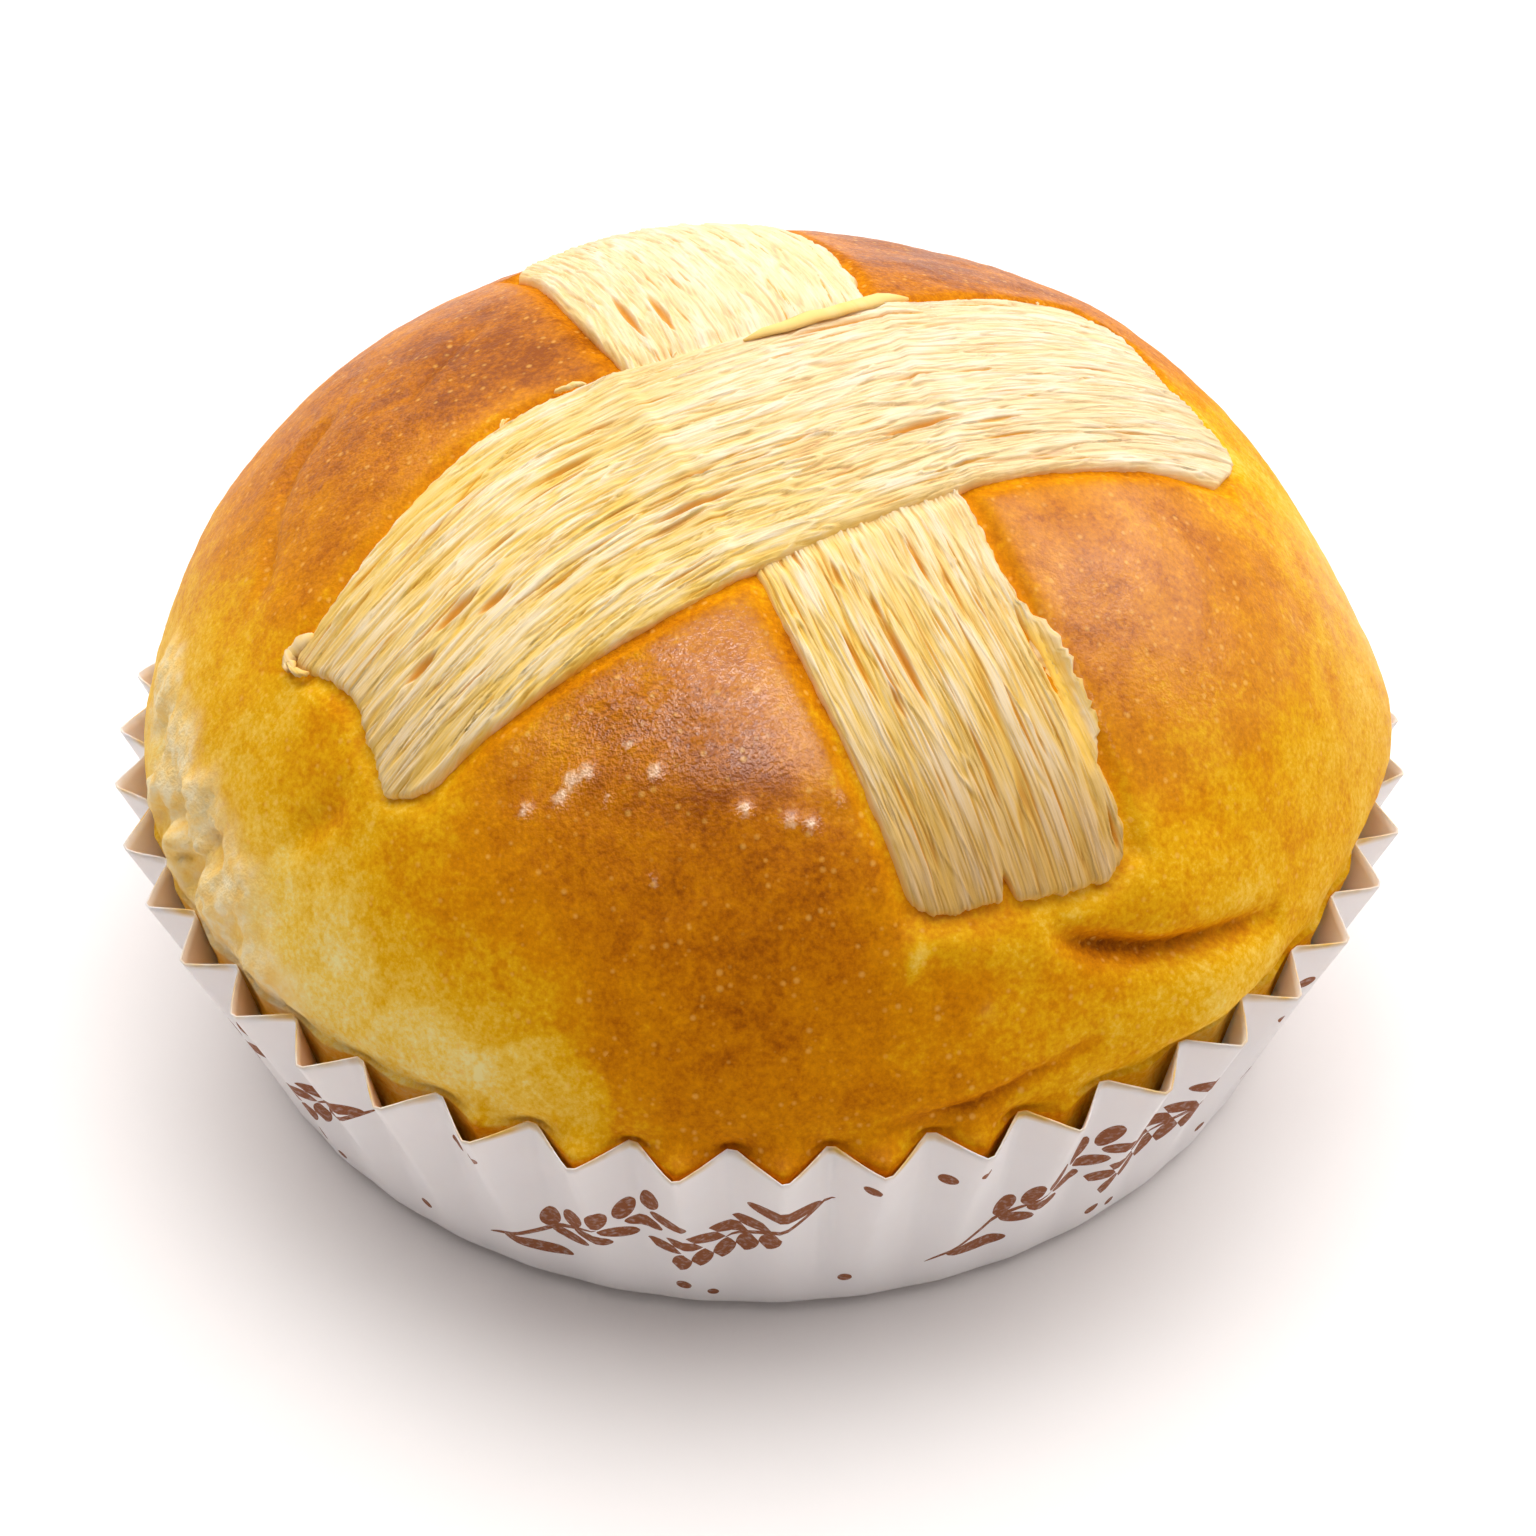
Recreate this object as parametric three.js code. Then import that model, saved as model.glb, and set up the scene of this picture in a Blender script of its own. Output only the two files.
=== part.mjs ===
// A domed sweet bun in a pleated paper case, with two strips of shredded pastry crossed over its crust.
// Millimetres, +Z up. The origin is the middle of the case's foot, and the bun's front faces -Y.
import * as THREE from 'three';

const { degToRad, lerp, clamp, smoothstep } = THREE.MathUtils;

// Paper case: a flat round foot and a leaning wall whose pleats deepen towards the rim.
const pleatCount = 46;
const rimHeight = 24.2;
const rimRadius = 54.65; // middle of the zigzag at the rim
const rimPleat = 1.35; // reach of a fold to either side of that middle
const footRadius = 48.4;
const footPleat = 0.15;
const pleatGrowth = 1.3; // above 1, the pleats open mostly near the rim
const footRounding = 1.5;
const paperThickness = 0.5;
const firstFold = degToRad(192); // azimuth of one outer fold
const foldCrowding = 0.022; // folds stand closer together on the right-hand side
const wallSteps = 4;

// Bun: a superellipsoid dome above the waist, and a wall that fills the case below it.
const waistHeight = 24.4;
const waistRadius = 52.5;
const domeHeight = 36.3; // from the waist to the top of the bare crust
const domeFullness = 1.96; // 2 is an ellipsoid
const fitGap = 0.35; // between pieces that lie against each other
const soleRounding = 5;
const bunSegments = 96;
const domeRows = 20;
const wallRows = 4;
const soleRows = 3;

// Pastry strips, and how they press into the crust.
const stripThickness = 1.3;
const ribHeight = 0.45; // of the bundles of fibres on top
const ribCount = 8; // bundles across a strip
const ribWander = 0.06;
const ribWaves = 7;
const edgeThinning = 0.5;
const frayReach = 0.4; // waver of the long edges
const frayWaves = 9;
const stripSteps = 28;
const stripLanes = 16;
const pressDepth = 0.9;
const crossingDepth = 0.6; // pressed this much deeper where the strips cross
const pressMargin = 2; // the pressed bed reaches this far past the strip's outline
const pressRamp = 7;
const crossingRamp = 4;
const halvings = 40; // steps of the search for the dome under a strip

// A strip runs over the dome along its heading, from the lean of its tail to the lean of its head, both
// measured from straight up. At even steps its course gives how far left of the heart its middle lies,
// and its half width.
const stripOver = {
  name: 'strip_over',
  heading: degToRad(30),
  tail: degToRad(-63),
  head: degToRad(50),
  course: course([-11.1, 8.1], [-10.4, 11.9], [-11.7, 11.5], [-12.2, 11], [-11.6, 11.8]),
};
const stripUnder = {
  name: 'strip_under',
  heading: degToRad(-63),
  tail: degToRad(-46),
  head: degToRad(71.3),
  course: course([1.2, 11.2], [1, 11.5], [-1.6, 9.6], [-3.4, 9.1], [-2.6, 8.3]),
};

// Unevenness of the crust. Places are an azimuth and a rise in degrees, seen from the bun's heart.
const swellings = [
  { at: [4, 11], spread: 15, height: 0.9 }, // right side, hanging over the rim
  { at: [-52, 2], spread: 7, height: 0.9 }, // lip under the deep fold
  { at: [-95, 33], spread: 16, height: 0.5 }, // crown of the front panel
  { at: [-36, 34], spread: 16, height: 0.5 }, // crown of the right panel
  { at: [165, 40], spread: 18, height: 0.4 }, // crown of the left panel
  { at: [40, 28], spread: 15, height: -0.7 }, // flatter shoulder at the back right
  { at: [-134, 17], spread: 4.5, height: -0.8 }, // dent below the end of the upper strip
];
const creases = [
  { through: [[-65, 13.5], [-56, 10], [-47, 8], [-40, 5.5]], depth: 1.6, width: 2.6 }, // deep fold
  { through: [[-81, 2.5], [-70, 4.5], [-61, 5]], depth: 0.6, width: 2 }, // shallow fold by the rim
];
const tornSide = { at: [-153, 6], spread: 12, depth: 0.8, ridgePitch: 7 }; // torn crumb on the left

function course(...stations) {
  return new THREE.SplineCurve(stations.map(([sway, half]) => new THREE.Vector2(sway, half)));
}

// Paper case

function wallRadius(height) {
  return lerp(footRadius, rimRadius, height / rimHeight);
}

function pleatReach(height) {
  return lerp(footPleat, rimPleat, clamp(height / rimHeight, 0, 1) ** pleatGrowth);
}

// Half outline of the case, from the middle of the foot out, up the wall, over the rim and back inside.
function caseOutline() {
  const heights = [];
  for (let step = 0; step <= wallSteps; step += 1) {
    heights.push(lerp(footRounding, rimHeight, step / wallSteps));
  }
  const outside = heights.map((height) => new THREE.Vector2(wallRadius(height), height));
  const inside = heights.map((height) => {
    const lifted = Math.max(height, footRounding + paperThickness);
    return new THREE.Vector2(wallRadius(lifted) - paperThickness, lifted);
  });
  const footEdge = footRadius - footRounding;
  return [
    new THREE.Vector2(0, 0),
    new THREE.Vector2(footEdge, 0),
    ...outside,
    ...inside.reverse(),
    new THREE.Vector2(footEdge - paperThickness, paperThickness),
    new THREE.Vector2(0, paperThickness),
  ];
}

function caseGeometry() {
  const frontTurn = Math.PI / 2; // a lathe starts at the front, a quarter turn behind +X
  const geometry = new THREE.LatheGeometry(caseOutline(), pleatCount * 2, firstFold + frontTurn);
  geometry.rotateX(Math.PI / 2);
  const place = geometry.attributes.position;
  for (let i = 0; i < place.count; i += 1) {
    const height = place.getZ(i);
    const azimuth = Math.atan2(place.getY(i), place.getX(i));
    const onWall = height >= footRounding ? 1 : 0;
    const fold = Math.cos(pleatCount * (azimuth - firstFold));
    const radius = Math.hypot(place.getX(i), place.getY(i)) + onWall * fold * pleatReach(height);
    const turned = azimuth - foldCrowding * Math.sin(azimuth);
    place.setXYZ(i, radius * Math.cos(turned), radius * Math.sin(turned), height);
  }
  return geometry;
}

// Bun: its frame has the waist's middle, the heart, at the origin.

function domeReach(rise) {
  const level = (Math.cos(rise) / waistRadius) ** domeFullness + (Math.sin(rise) / domeHeight) ** domeFullness;
  return level ** (-1 / domeFullness);
}

// Half outline of the bun, from the middle of its sole out, up the case's wall and over the dome.
function bunOutline() {
  const soleHeight = paperThickness + fitGap;
  const wallStart = soleHeight + soleRounding;
  const freeRadius = (height) => wallRadius(height) - pleatReach(height) - paperThickness - fitGap;
  const outline = [new THREE.Vector2(0, soleHeight)];
  const roundingMiddle = freeRadius(wallStart) - soleRounding;
  for (let row = 0; row < soleRows; row += 1) {
    const turn = (Math.PI / 2) * (row / soleRows);
    const radius = roundingMiddle + soleRounding * Math.sin(turn);
    outline.push(new THREE.Vector2(radius, wallStart - soleRounding * Math.cos(turn)));
  }
  for (let row = 0; row < wallRows; row += 1) {
    const height = lerp(wallStart, waistHeight, row / wallRows);
    outline.push(new THREE.Vector2(freeRadius(height), height));
  }
  for (let row = 0; row <= domeRows; row += 1) {
    const rise = (Math.PI / 2) * (row / domeRows);
    const reach = domeReach(rise);
    const radius = row < domeRows ? reach * Math.cos(rise) : 0;
    outline.push(new THREE.Vector2(radius, waistHeight + reach * Math.sin(rise)));
  }
  return outline.map((point) => new THREE.Vector2(point.x, point.y - waistHeight));
}

function domeNormal(point) {
  const radius = Math.hypot(point.x, point.y);
  const outward = (radius / waistRadius) ** (domeFullness - 1) / waistRadius;
  const upward = (Math.max(point.z, 0) / domeHeight) ** (domeFullness - 1) / domeHeight;
  const share = radius > 0 ? outward / radius : 0;
  return new THREE.Vector3(point.x * share, point.y * share, upward).normalize();
}

function towards([azimuth, rise]) {
  const turn = degToRad(azimuth);
  const climb = degToRad(rise);
  const level = Math.cos(climb);
  return new THREE.Vector3(level * Math.cos(turn), level * Math.sin(turn), Math.sin(climb));
}

function onDome(place) {
  return towards(place).multiplyScalar(domeReach(degToRad(place[1])));
}

// How fully a point of the crust lies in a soft round patch, from 0 to 1.
function inPatch(point, patch) {
  const apart = point.angleTo(towards(patch.at)) / degToRad(patch.spread);
  return Math.exp(-apart * apart);
}

function creaseDepth(point, crease) {
  let nearest = Infinity;
  for (let i = 1; i < crease.through.length; i += 1) {
    const stretch = new THREE.Line3(onDome(crease.through[i - 1]), onDome(crease.through[i]));
    const closest = stretch.closestPointToPoint(point, true, new THREE.Vector3());
    nearest = Math.min(nearest, closest.distanceTo(point));
  }
  return crease.depth * Math.exp(-((nearest / crease.width) ** 2));
}

function tornRelief(point) {
  const arc = Math.atan2(point.y, point.x) * waistRadius;
  const ridge = Math.sin((2 * Math.PI * arc) / tornSide.ridgePitch);
  return inPatch(point, tornSide) * tornSide.depth * ridge;
}

// How fully a point of the crust lies in the bed that a strip presses, from 0 to 1.
function pressedBy(strip, point) {
  return smoothstep(insideStrip(strip, point), -pressMargin - pressRamp, -pressMargin);
}

// How far the crust stands off the plain dome, along the dome's normal.
function crustOffset(point) {
  const over = pressedBy(stripOver, point);
  const under = pressedBy(stripUnder, point);
  const free = 1 - Math.max(over, under);
  let offset = -pressDepth * Math.max(over, under) - crossingDepth * Math.min(over, under);
  for (const patch of swellings) {
    offset += free * patch.height * inPatch(point, patch);
  }
  for (const crease of creases) {
    offset -= free * creaseDepth(point, crease);
  }
  return offset + free * tornRelief(point);
}

function bunGeometry() {
  const geometry = new THREE.LatheGeometry(bunOutline(), bunSegments);
  geometry.rotateX(Math.PI / 2);
  const place = geometry.attributes.position;
  const rimClearance = rimHeight + fitGap - waistHeight;
  const point = new THREE.Vector3();
  for (let i = 0; i < place.count; i += 1) {
    point.fromBufferAttribute(place, i);
    const aboveRim = smoothstep(point.z, rimClearance, rimClearance + soleRounding);
    if (aboveRim > 0) {
      point.addScaledVector(domeNormal(point), aboveRim * crustOffset(point));
    }
    place.setXYZ(i, point.x, point.y, point.z);
  }
  return geometry;
}

// Pastry strips, in the bun's frame

function stripAxes(strip) {
  const forward = new THREE.Vector3(Math.cos(strip.heading), Math.sin(strip.heading), 0);
  const left = new THREE.Vector3(-forward.y, forward.x, 0);
  return { forward, left };
}

// Distance in millimetres from a point of the dome to a strip's outline, positive inside it.
function insideStrip(strip, point) {
  const { forward, left } = stripAxes(strip);
  const lean = Math.atan2(point.dot(forward), Math.max(point.z, 0));
  const along = (lean - strip.tail) / (strip.head - strip.tail);
  const station = strip.course.getPoint(clamp(along, 0, 1));
  const sideways = station.y - Math.abs(point.dot(left) - station.x);
  const endways = Math.min(lean - strip.tail, strip.head - lean) * point.length();
  return Math.min(sideways, endways);
}

// The point of the dome under a strip, at a share of its length and of its half width to the left.
function underStrip(strip, along, across) {
  const { forward, left } = stripAxes(strip);
  const lean = lerp(strip.tail, strip.head, along);
  const station = strip.course.getPoint(along);
  const fray = frayReach * Math.sin(frayWaves * lean + 3 * across) * across ** 4;
  const start = left.multiplyScalar(station.x + across * (station.y + fray));
  const ray = forward.multiplyScalar(Math.sin(lean));
  ray.z = Math.cos(lean);
  const point = new THREE.Vector3();
  let near = 0;
  let far = 2 * waistRadius;
  for (let halving = 0; halving < halvings; halving += 1) {
    const reach = (near + far) / 2;
    point.copy(start).addScaledVector(ray, reach);
    const rise = Math.atan2(point.z, Math.hypot(point.x, point.y));
    if (point.length() < domeReach(rise)) {
      near = reach;
    } else {
      far = reach;
    }
  }
  return point;
}

// Height of a strip's top above its own underside: fibres along it, thinner at the long edges.
function stripTop(along, across) {
  const ridge = Math.cos(Math.PI * ribCount * (across + ribWander * Math.sin(ribWaves * along)));
  return stripThickness + (ribHeight * ridge) / 2 - edgeThinning * across ** 6;
}

// A strip that passes over another is raised by the other's height, with a ramp on either side.
function stripGeometry(strip, below) {
  const geometry = new THREE.BoxGeometry(1, 2, 1, stripSteps, stripLanes, 1);
  const place = geometry.attributes.position;
  for (let i = 0; i < place.count; i += 1) {
    const along = place.getX(i) + 0.5;
    const across = place.getY(i);
    const point = underStrip(strip, along, across);
    let height = crustOffset(point) + fitGap;
    if (below) {
      const inside = insideStrip(below, point);
      const raised = smoothstep(inside, -pressMargin - crossingRamp, -pressMargin);
      height += raised * (stripThickness + ribHeight / 2 + fitGap);
    }
    if (place.getZ(i) > 0) {
      height += stripTop(along, across);
    }
    point.addScaledVector(domeNormal(point), height);
    place.setXYZ(i, point.x, point.y, point.z);
  }
  return geometry;
}

function piece(name, geometry, color, roughness) {
  geometry.computeVertexNormals();
  const material = new THREE.MeshStandardMaterial({ color, roughness, metalness: 0 });
  const mesh = new THREE.Mesh(geometry, material);
  mesh.name = name;
  return mesh;
}

const food = new THREE.Group();
food.position.z = waistHeight;
food.add(piece('bun', bunGeometry(), '#c97f26', 0.45));
food.add(piece(stripUnder.name, stripGeometry(stripUnder), '#f0dba0', 0.8));
food.add(piece(stripOver.name, stripGeometry(stripOver, stripUnder), '#f4e2ac', 0.8));

const creamBun = new THREE.Group();
creamBun.add(piece('paper_case', caseGeometry(), '#eeeae6', 0.75));
creamBun.add(food);

export default creamBun;
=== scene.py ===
"""A sweet bun with two crossed strips of shredded pastry, in its pleated paper case, as the photo shows it.

Shapes are worked out in millimetres, in the frame of the part, and each piece is brought to metres when its
mesh is made. The bun's heart is the middle of its waist. A place on the crust is an azimuth and a rise in
degrees, seen from the heart.
"""

import math
import random

import bmesh
import bpy
import numpy as np
from mathutils import Matrix, Vector, noise


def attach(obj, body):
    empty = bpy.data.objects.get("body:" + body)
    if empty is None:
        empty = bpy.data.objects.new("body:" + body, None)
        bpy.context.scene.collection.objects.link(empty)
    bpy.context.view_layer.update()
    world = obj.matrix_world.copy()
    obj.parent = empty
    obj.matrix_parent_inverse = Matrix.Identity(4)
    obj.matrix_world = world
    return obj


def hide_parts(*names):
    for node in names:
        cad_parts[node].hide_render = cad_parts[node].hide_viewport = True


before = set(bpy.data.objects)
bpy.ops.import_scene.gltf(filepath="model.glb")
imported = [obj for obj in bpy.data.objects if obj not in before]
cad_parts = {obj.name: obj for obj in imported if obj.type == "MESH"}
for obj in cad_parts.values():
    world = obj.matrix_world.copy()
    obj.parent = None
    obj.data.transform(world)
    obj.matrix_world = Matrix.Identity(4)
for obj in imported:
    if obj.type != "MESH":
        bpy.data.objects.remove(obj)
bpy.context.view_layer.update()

MM = 0.001
WELD = 1e-4  # points nearer than this are one
FLAT_UNIT = 100  # flat maps of pieces are in tenths of a metre

# Bun, as in the part's solids
WAIST_HEIGHT = 24.4
WAIST_RADIUS = 52.5
DOME_HEIGHT = 36.3
DOME_FULLNESS = 1.96
SOLE_HEIGHT = 0.9
SOLE_ROUNDING = 5.0
FIT_GAP = 0.12
BUN_SEGMENTS = 640
DOME_ROWS = 124
WALL_ROWS = 14
SOLE_ROWS = 5

# Paper case, as in the part's solids, with thinner paper and deeper pleats
PLEATS = 46
RIM_HEIGHT = 24.2
RIM_RADIUS = 54.65
RIM_PLEAT = 1.55
RIM_TILT = 0.35  # inner folds stand this much higher, outer ones lower
FOOT_RADIUS = 48.4
FOOT_PLEAT = 0.06
PLEAT_GROWTH = 1.5
FOOT_ROUNDING = 1.5
FIRST_FOLD = math.radians(192)
FOLD_CROWDING = 0.022
FOLD_SHARPNESS = 0.985
FOLD_DRIFT = 0.01
PAPER = 0.14
PLEAT_COLUMNS = 12
WALL_STEPS = 26
CORNER_STEPS = 3

# Strips. Course: the middle's place left of the heart and the half width, at even steps from tail to head.
# The end lines say how far each end reaches beyond tail or head, from the right side to the left. Notches of
# the head: place across, half width, depth. Raggedness: of the right and the left edge. Flaps, torn edges:
# side, from and to as shares along, reach. Slits: shares along and across, half length, half width.
# Only the upper strip has shreds (three places that they run through, half width, lift, yellowness) and
# fringes (side, from and to as shares along, number of fibres, yellowness).
STRIP_OVER = {
    "name": "strip_over",
    "heading": math.radians(30),
    "tail": math.radians(-63),
    "head": math.radians(50),
    "course": [(-11.0, 8.8), (-9.6, 12.2), (-11.3, 11.2), (-11.2, 11.1), (-11.0, 12.2)],
    "heights": [0.9, 0.85, 0.85, 0.9, 0.6],
    "tail_line": [0.6, 2.1, 1.2, 0.2, -0.9, -1.1, -0.9, 0.1, 0.3],
    "head_line": [0.6, 3.9, 4.3, 3.0, 1.8, 1.7, 2.2, 1.8, -0.6],
    "notches": [],
    "raggedness": (0.08, 0.18),
    "flaps": [],
    "shreds": [((0.53, 0.9), (0.66, 0.94), (0.76, 1.06), 0.85, 0.1, 0.7),
               ((0.03, 0.95), (0.012, 1.02), (-0.005, 1.06), 0.8, 0.15, 0.1),
               ((0.012, 1.06), (0.0, 1.0), (-0.006, 0.88), 0.7, 0.3, 0.1),
               ((0.006, 0.9), (-0.003, 0.82), (0.002, 0.7), 0.7, 0.25, 0.1),
               ((0.36, 0.97), (0.345, 1.0), (0.33, 1.04), 0.3, 0.1, 0.2)],
    "fringes": [(1, 0.06, 0.95, 8, 0.2)],
    "slits": [(0.655, 0.8, 8.0, 0.35), (0.123, -0.06, 2.6, 0.5), (0.155, -0.23, 2.0, 0.5),
              (0.072, -0.2, 1.8, 0.55), (0.635, -0.40, 5.5, 0.4), (0.356, -0.43, 5.0, 0.35),
              (0.283, 0.30, 4.0, 0.3), (0.34, -0.28, 3.5, 0.2), (0.187, 0.10, 2.5, 0.2),
              (0.73, -0.48, 3.0, 0.2)],
    "seed": 3,
}
STRIP_UNDER = {
    "name": "strip_under",
    "heading": math.radians(-63),
    "tail": math.radians(-46),
    "head": math.radians(71.3),
    "course": [(3.0, 11.9), (1.15, 12.05), (-1.6, 9.6), (-3.1, 8.8), (-2.3, 8.95)],
    "heights": [1.5, 1.35, 0.85, 0.85, 0.85],
    "tail_line": [0, 0],
    "head_line": [-0.6, 0.1, 0.4, 0.5, 0.9, 1.2, 1.3, 1.3, 0.0],
    "notches": [(-0.18, 0.045, 1.7)],
    "raggedness": (0.06, 0.28),
    "flaps": [(1, 0.80, 0.935, 1.4)],
    "slits": [(0.817, -0.21, 4.2, 0.4), (0.805, -0.57, 2.8, 0.25), (0.846, -0.43, 1.6, 0.25),
              (0.29, -0.71, 6.0, 0.45), (0.31, -0.5, 5.0, 0.4), (0.902, 0.0, 3.2, 0.2),
              (0.732, -0.38, 1.8, 0.22), (0.768, -0.22, 1.3, 0.25), (0.738, 0.3, 2.5, 0.25),
              (0.975, 0.86, 1.6, 0.3), (0.84, 0.88, 4.2, 0.35)],
    "seed": 8,
}
STRIP_ROWS = 280
STRIP_COLUMNS = 280
EDGES_APART = 9  # how far apart the noise of a strip's two edges or ends is taken
RIBBON_DEPTH = 0.13
FIBRE_DEPTH = 0.22
STRAY_HEIGHT = 0.08
# Lines between the fibres: length, spacing, width as a share, strength
FIBRES = [(24, 1.6, 0.07, 1.0), (14, 0.8, 0.09, 0.9), (10, 0.4, 0.14, 0.75), (7, 0.22, 0.24, 0.5)]
SLIT_STEEPNESS = 1.8
DEEPEST_SLIT = 0.75
# Seeded slits: number, shortest and longest half length, finest and widest half width
SEEDED_SLITS = [(80, 1.0, 4.5, 0.06, 0.13), (16, 2.0, 5.0, 0.12, 0.22)]
EDGE_HEIGHT = 0.8
EDGE_ROUNDING = 0.7
CORNER_ROUNDING = 1.5
FLAP_DROP = 0.6
FRINGE_LIFT = 0.25
TUCK = 0.45  # how far a strip's border reaches below the crust
STRAND_RINGS = 12
STRAND_SIDES = 6
STRAND_TAPER = 0.85
STRAND_LUMPS = 0.6
THICKEST_STRAND = 0.35

# Bed of the strips in the crust
PRESS_DEPTH = 0.5
CROSSING_DEPTH = 0.3
CROSSING_RISE = 0.55
CROSSING_SQUEEZE = 0.45
PRESS_MARGIN = 0.1
PRESS_RAMP = 1.2

# How the soft bun fills the case: bulge over the rim, how far it stays behind the folds, and how much of the
# pleats it fills at the rim, where they open, except at the front
RIM_BULGE = 0.75
FOLD_SLACK = 0.2
RIM_FILL = 0.22

# Swellings and dents of the crust: (azimuth, rise), spread in degrees, height in millimetres
SWELLINGS = [
    ((-9, 4), 10, 1.4), ((8, 22), 12, -0.5), ((42, 30), 10, 0.5), ((67, 50), 10, -0.6),
    ((-52, 2), 7, 0.9), ((-95, 33), 16, 0.5), ((-36, 34), 16, 0.5), ((165, 40), 18, 0.4),
    ((-134, 17), 4.5, -0.35), ((-53, 14), 5, 0.7), ((-47, 4.5), 5, 0.4),
]
# Small blisters of dried egg wash, foamy, their light tint partly a painted highlight: place, spread in
# degrees
BLISTERS = [((-108.8, 29), 0.9), ((-109.4, 27.4), 0.7), ((-107.4, 29.9), 0.7), ((-100.4, 30.8), 0.7),
            ((-91.2, 28.1), 0.6), ((-86.9, 27.1), 0.6), ((-85, 26.7), 0.6), ((-99.2, 22.1), 0.45),
            ((-104.7, 28), 0.4), ((-81.9, 28.6), 0.4), ((-103.6, 32.8), 0.5), ((-112.6, 25.8), 0.6)]
BLISTER_HEIGHT = 0.2
# Uneven skin of the crust: height, size, seed, octaves
SKIN = [(0.25, 16.0, 1, 2), (0.09, 3.0, 4, 2), (0.04, 1.2, 5, 1)]
# Folds and ridges: places that they run through, depth, half width, and painted shade (negative: painted
# highlight)
MARKS = [
    ([(-64, 14.4), (-62, 13), (-59, 11.4), (-55, 9.6), (-51, 8.4), (-46.5, 7.3), (-41.5, 5.8)],
     1.8, 0.95, 0.42),
    ([(-62, 13.0), (-56, 9.8), (-49.2, 7.6), (-44, 6.6)], 0.5, 2.4, 0.06),
    ([(-79.7, 1.4), (-76.5, 2), (-73.5, 2.3), (-70.5, 2.9), (-66.2, 3.9), (-61.9, 4.7)], 0.7, 0.55, 0.3),
    ([(-132.3, 21.2), (-132.2, 19), (-134.9, 16.3), (-135.9, 14)], 0.45, 1.2, 0.08),
    ([(-79.2, 14.5), (-75.5, 16.3), (-69.6, 14.7), (-62.2, 13.8)], -0.4, 1.4, -0.14),
    ([(-85.1, 37.4), (-81.6, 34.1), (-79.1, 27.5), (-77.8, 21.8), (-76.6, 18.1)], -0.1, 0.7, -0.16),
    ([(176.6, 37.1), (181.4, 33.9), (189.4, 31.5)], 0.6, 0.8, 0.06),
    ([(200.4, 27.5), (196.9, 29.5), (190.9, 31)], 0.5, 0.7, 0.04),
    ([(160.6, 52.8), (171.9, 50.2), (181, 47.6)], 0.4, 0.8, 0.04),
    ([(-77.6, 14), (-76.2, 16.4)], -0.15, 0.6, -0.3),
]
# Side where the crumb is torn open
TORN = [((-165, 11), 6), ((-157, 9), 7.5), ((-150, 6.5), 8), ((-143, 3), 9), ((-136, -0.5), 7.5)]
TORN_DEPTH = 0.7
# Crags of the crumb: height, size, seed, octaves
CRAGS = [(0.9, (3.2, 3.2, 5.0), 2, 3), (0.5, 1.0, 3, 2)]
CRAG_RISE = 0.25
# Pockets and lumps of the crumb: (azimuth, rise), spread in degrees, height in millimetres
CRUMB_LUMPS = [
    ((-152.6, 8.0), 2.2, -2.0), ((-156.0, 3.6), 2.4, -2.0), ((-148.8, 4.2), 3.0, -1.8),
    ((-145.4, 8.2), 2.0, -1.4), ((-162.5, 8.5), 2.4, -1.2), ((-140.5, 3.6), 2.0, -1.0),
    ((-150.7, 10.6), 2.6, 0.5), ((-152.4, 5.0), 1.6, 0.8), ((-143.4, 5.6), 3.0, 0.6),
    ((-158.0, 6.0), 2.6, 0.6), ((-137.5, 1.5), 3.0, 0.5),
]

# Browning of the crust at the rim, and how much browner it is higher up
RIM_BAKE = 0.40
TOP_BAKE = 0.36
# Places that are browner or paler: (azimuth, rise), spread in degrees, amount
BROWNING = [
    ((-97, 20), 15, 0.17), ((-92, 4), 15, 0.28), ((-74, 3), 13, 0.12), ((168, 57), 17, 0.20),
    ((58, 50), 18, 0.16), ((105, 35), 25, 0.10), ((-43, 26), 9, -0.06), ((-142, 24), 9, -0.11),
    ((-20, 22), 16, -0.05), ((-133, 9), 15, -0.12), ((-160, 12), 14, -0.22), ((-112, 6), 8, -0.16),
    ((4, 27), 13, -0.34), ((-52, 3), 10, -0.12),
]
# Uneven browning: size, noise's detail and roughness, half its range, amount
MOTTLE = [(6.0, 3.0, 0.55, 0.25, 0.12), (1.8, 2.0, 0.55, 0.2, 0.06), (0.5, 3.0, 0.7, 0.25, 0.16)]
# Places that the egg wash missed, with a clear border: (azimuth, rise), spread in degrees
UNWASHED = [((-131, 6), 10), ((-118, 2), 7), ((-107, 3), 6.5)]
# Sheen of the egg wash: (azimuth, rise), spread in degrees, amount, graininess, lowest rise
GLOSS = [
    ((-96, 38), 13, 0.7, 0.5, 31), ((-105, 34), 9, 0.0, 0.7, 0), ((-91, 49), 5, -0.4, 0.0, 0),
    ((-38, 36), 18, 0.75, 0.0, 20), ((-35, 47), 6, -0.5, 0.0, 0), ((4, 29), 10, -0.3, 0.0, 0),
    ((-8, 17), 12, 0.45, 0.0, 0), ((178, 40), 25, 0.35, 0.6, 0), ((55, 50), 20, 0.3, 0.3, 0),
    ((115, 40), 25, 0.2, 0.2, 0),
]
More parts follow.
